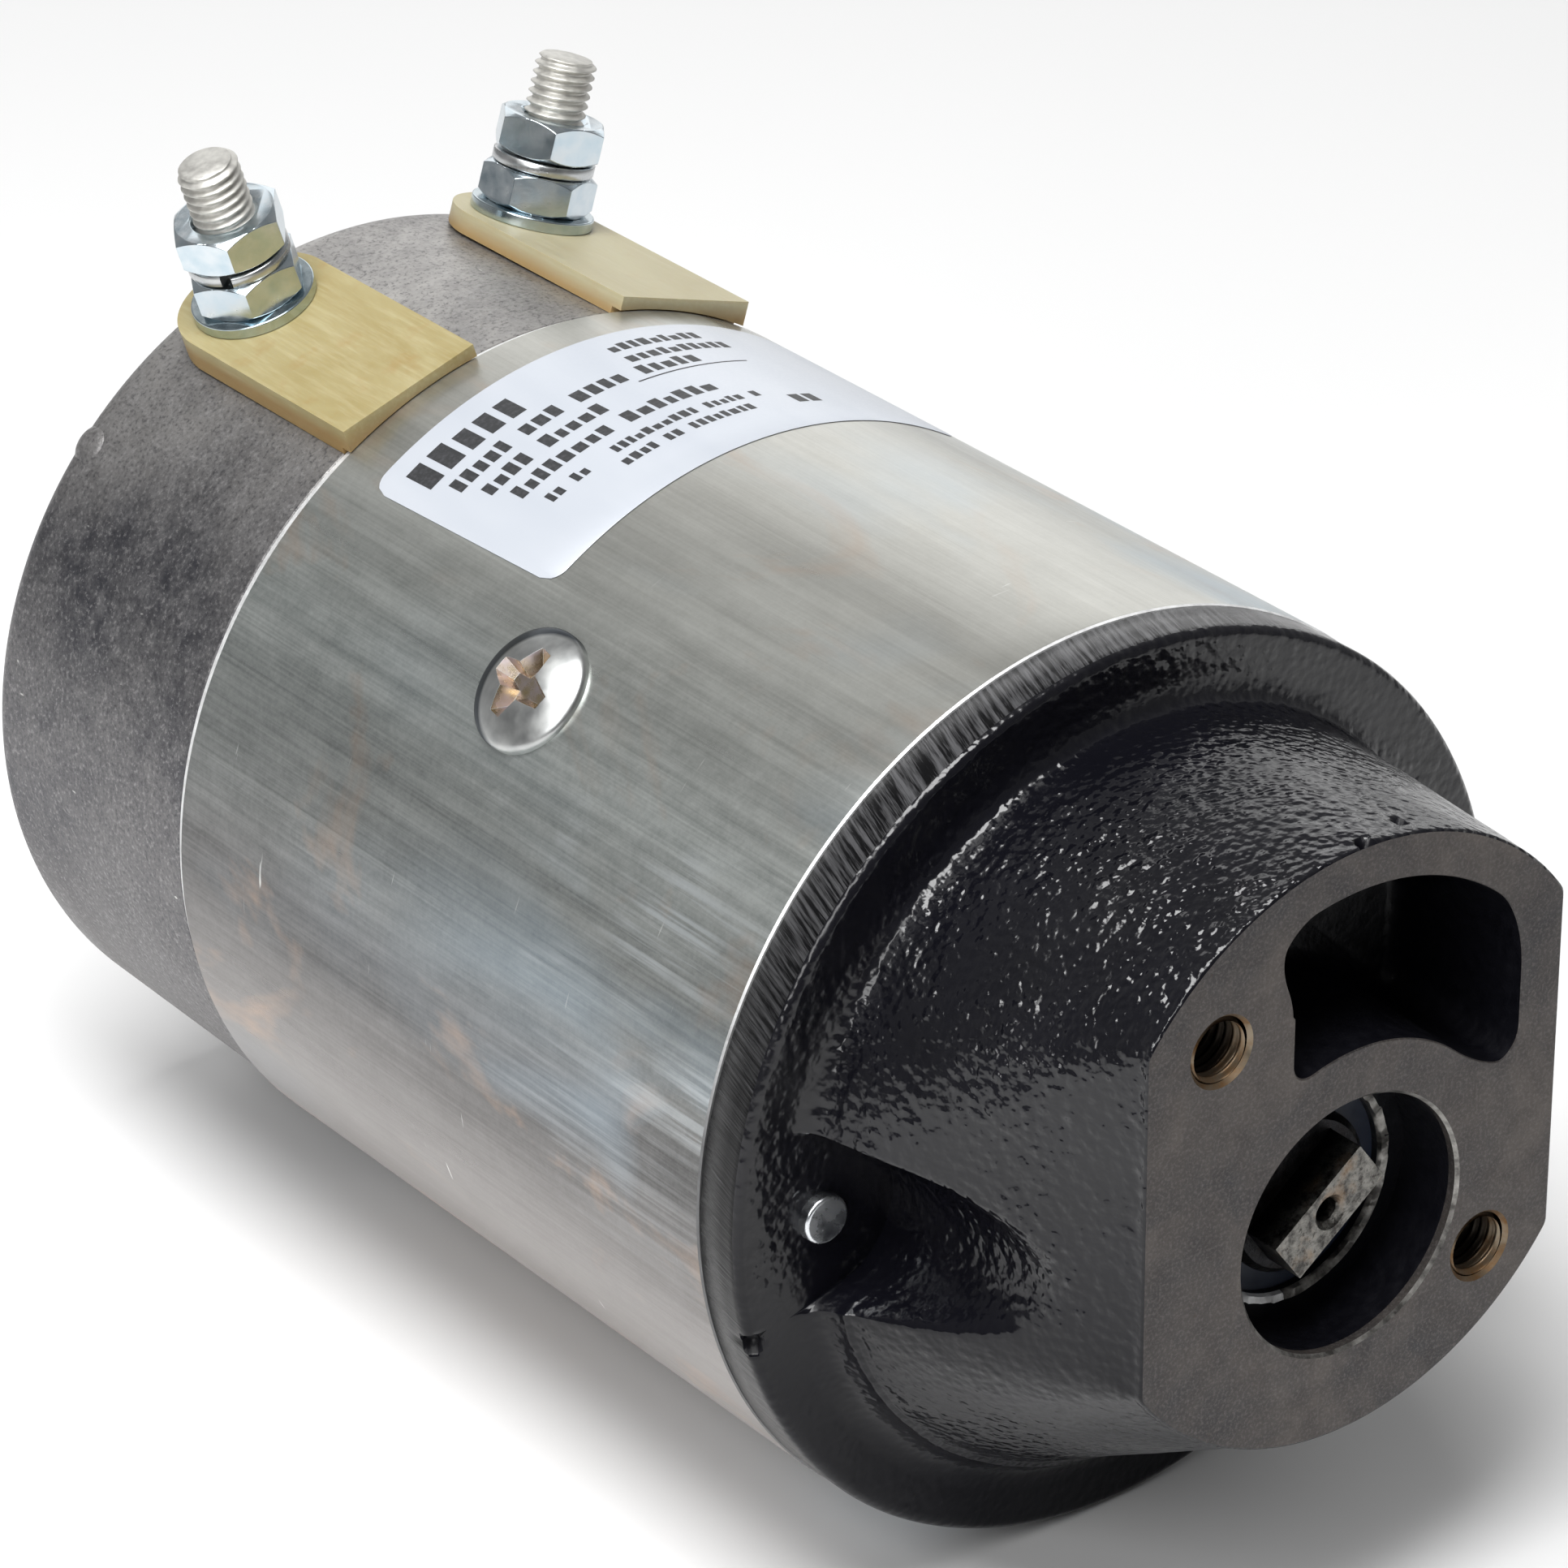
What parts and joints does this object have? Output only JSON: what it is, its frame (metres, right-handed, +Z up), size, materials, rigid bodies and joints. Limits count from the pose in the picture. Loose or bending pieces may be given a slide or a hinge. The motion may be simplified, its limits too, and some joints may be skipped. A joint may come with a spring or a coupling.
{
  "type": "pump motor",
  "caption": "Round brushed DC motor with a black cast pump flange, tang drive in a pilot bore, steel can, cast rear cap and angled terminal studs with insulating pads.",
  "frame": {"origin": "centre of the pilot bore in the plane of the mounting face", "axes": "+Y runs back into the motor along the shaft, +Z points up between the two terminal studs, +X to the right seen from the drive end"},
  "size_m": [0.114, 0.198, 0.1332],
  "materials": {
    "black_casting_paint": "gloss black paint over sand-cast iron, face left machined",
    "zinc_can_steel": "zinc-plated steel tube with axial drawing marks and faint iridescence",
    "cast_aluminium": "raw die-cast aluminium, mottled grey",
    "bright_zinc_screw": "polished zinc plate",
    "bolt_steel": "zinc-plated steel",
    "label_film": "silver-white printed film",
    "pole_iron": "plain soft iron",
    "field_copper": "varnished copper strap with tape",
    "seal_rubber": "dark blue-black sealing rubber",
    "spring_steel": "oiled spring steel",
    "bearing_steel": "ground bearing steel",
    "ball_chrome": "polished balls",
    "cage_brass": "pressed brass",
    "shaft_steel": "turned steel, milled tang with burrs",
    "core_lamination": "stacked electrical-steel sheets",
    "winding_copper": "varnished copper wire",
    "commutator_copper": "turned copper bars",
    "moulded_insulation": "moulded phenolic",
    "holder_brass": "folded brass strip",
    "brush_carbon": "copper-graphite brush",
    "tinned_stud": "matt tinned thread",
    "fibre_bush": "moulded insulating bush",
    "fibre_pad": "cream insulating board",
    "washer_zinc": "blue-passivated zinc",
    "lower_nut_zinc": "blue-passivated zinc",
    "spring_washer_steel": "zinc-plated spring steel",
    "upper_nut_zinc": "blue-passivated zinc"
  },
  "bodies": {
    "motor_body": {"drive_end_flange": "black_casting_paint", "steel_can": "zinc_can_steel", "rear_cap": "cast_aluminium", "pole_screws": "bright_zinc_screw", "through_bolts": "bolt_steel", "rating_label": "label_film", "pole_shoe_upper_left": "pole_iron", "plain_pole_upper_right": "pole_iron", "plain_pole_lower_left": "pole_iron", "pole_shoe_lower_right": "pole_iron", "field_coil_upper_left": "field_copper", "field_coil_lower_right": "field_copper", "shaft_seal": "seal_rubber", "bearing_circlip": "spring_steel", "front_bearing_outer_race": "bearing_steel", "rear_bearing_outer_race": "bearing_steel", "preload_washer": "spring_steel", "brush_plate": "moulded_insulation", "brush_plate_screws": "bolt_steel", "brush_holders": "holder_brass", "terminal_stud_left": "tinned_stud", "terminal_stud_right": "tinned_stud", "stud_bush_left": "fibre_bush", "stud_bush_right": "fibre_bush", "insulating_pad_left": "fibre_pad", "insulating_pad_right": "fibre_pad", "flat_washers": "washer_zinc", "lower_nuts": "lower_nut_zinc", "spring_washers": "spring_washer_steel", "upper_nuts": "upper_nut_zinc"},
    "rotor": {"rotor_shaft": "shaft_steel", "armature_core": "core_lamination", "armature_winding": "winding_copper", "commutator_bars": "commutator_copper", "commutator_hub": "moulded_insulation", "front_bearing_inner_race": "bearing_steel", "rear_bearing_inner_race": "bearing_steel"},
    "front_ball_set": {"front_bearing_balls": "ball_chrome", "front_bearing_cage": "cage_brass"},
    "rear_ball_set": {"rear_bearing_balls": "ball_chrome", "rear_bearing_cage": "cage_brass"},
    "brush_upper_right_body": {"brush_upper_right": "brush_carbon"},
    "spring_arm_upper_right_body": {"spring_arm_upper_right": "spring_steel"},
    "brush_lower_right_body": {"brush_lower_right": "brush_carbon"},
    "spring_arm_lower_right_body": {"spring_arm_lower_right": "spring_steel"},
    "brush_lower_left_body": {"brush_lower_left": "brush_carbon"},
    "spring_arm_lower_left_body": {"spring_arm_lower_left": "spring_steel"},
    "brush_upper_left_body": {"brush_upper_left": "brush_carbon"},
    "spring_arm_upper_left_body": {"spring_arm_upper_left": "spring_steel"}
  },
  "joints": [
    {"name": "rotor_spin", "type": "hinge", "parent": "motor_body", "child": "rotor", "pos_m": [0, 0, 0], "axis": [0, 1, 0], "continuous": true},
    {"name": "front_cage_spin", "type": "hinge", "parent": "motor_body", "child": "front_ball_set", "pos_m": [0, 0.034, 0], "axis": [0, 1, 0], "continuous": true},
    {"name": "rear_cage_spin", "type": "hinge", "parent": "motor_body", "child": "rear_ball_set", "pos_m": [0, 0.1862, 0], "axis": [0, 1, 0], "continuous": true},
    {"name": "brush_upper_right_slide", "type": "slide", "parent": "motor_body", "child": "brush_upper_right_body", "axis": [0.7071, 0, 0.7071], "range_m": [0, 0.003], "stiffness_N_per_m": 300, "springref_m": -0.02},
    {"name": "spring_arm_upper_right_turn", "type": "hinge", "parent": "motor_body", "child": "spring_arm_upper_right_body", "pos_m": [0.04066, 0.162, 0.02086], "axis": [0, 1, 0], "range_deg": [0, 12.4]},
    {"name": "brush_lower_right_slide", "type": "slide", "parent": "motor_body", "child": "brush_lower_right_body", "axis": [0.7071, 0, -0.7071], "range_m": [0, 0.003], "stiffness_N_per_m": 300, "springref_m": -0.02},
    {"name": "spring_arm_lower_right_turn", "type": "hinge", "parent": "motor_body", "child": "spring_arm_lower_right_body", "pos_m": [0.02086, 0.162, -0.04066], "axis": [0, 1, 0], "range_deg": [0, 12.4]},
    {"name": "brush_lower_left_slide", "type": "slide", "parent": "motor_body", "child": "brush_lower_left_body", "axis": [-0.7071, 0, -0.7071], "range_m": [0, 0.003], "stiffness_N_per_m": 300, "springref_m": -0.02},
    {"name": "spring_arm_lower_left_turn", "type": "hinge", "parent": "motor_body", "child": "spring_arm_lower_left_body", "pos_m": [-0.04066, 0.162, -0.02086], "axis": [0, 1, 0], "range_deg": [0, 12.4]},
    {"name": "brush_upper_left_slide", "type": "slide", "parent": "motor_body", "child": "brush_upper_left_body", "axis": [-0.7071, 0, 0.7071], "range_m": [0, 0.003], "stiffness_N_per_m": 300, "springref_m": -0.02},
    {"name": "spring_arm_upper_left_turn", "type": "hinge", "parent": "motor_body", "child": "spring_arm_upper_left_body", "pos_m": [-0.02086, 0.162, 0.04066], "axis": [0, 1, 0], "range_deg": [0, 12.4]}
  ],
  "couplings": [
    {"joint": "front_cage_spin", "follows": "rotor_spin", "ratio": 0.3836},
    {"joint": "rear_cage_spin", "follows": "rotor_spin", "ratio": 0.382},
    {"joint": "spring_arm_upper_right_turn", "follows": "brush_upper_right_slide", "rad_per_m": 71.566},
    {"joint": "spring_arm_lower_right_turn", "follows": "brush_lower_right_slide", "rad_per_m": 71.566},
    {"joint": "spring_arm_lower_left_turn", "follows": "brush_lower_left_slide", "rad_per_m": 71.566},
    {"joint": "spring_arm_upper_left_turn", "follows": "brush_upper_left_slide", "rad_per_m": 71.566}
  ]
}
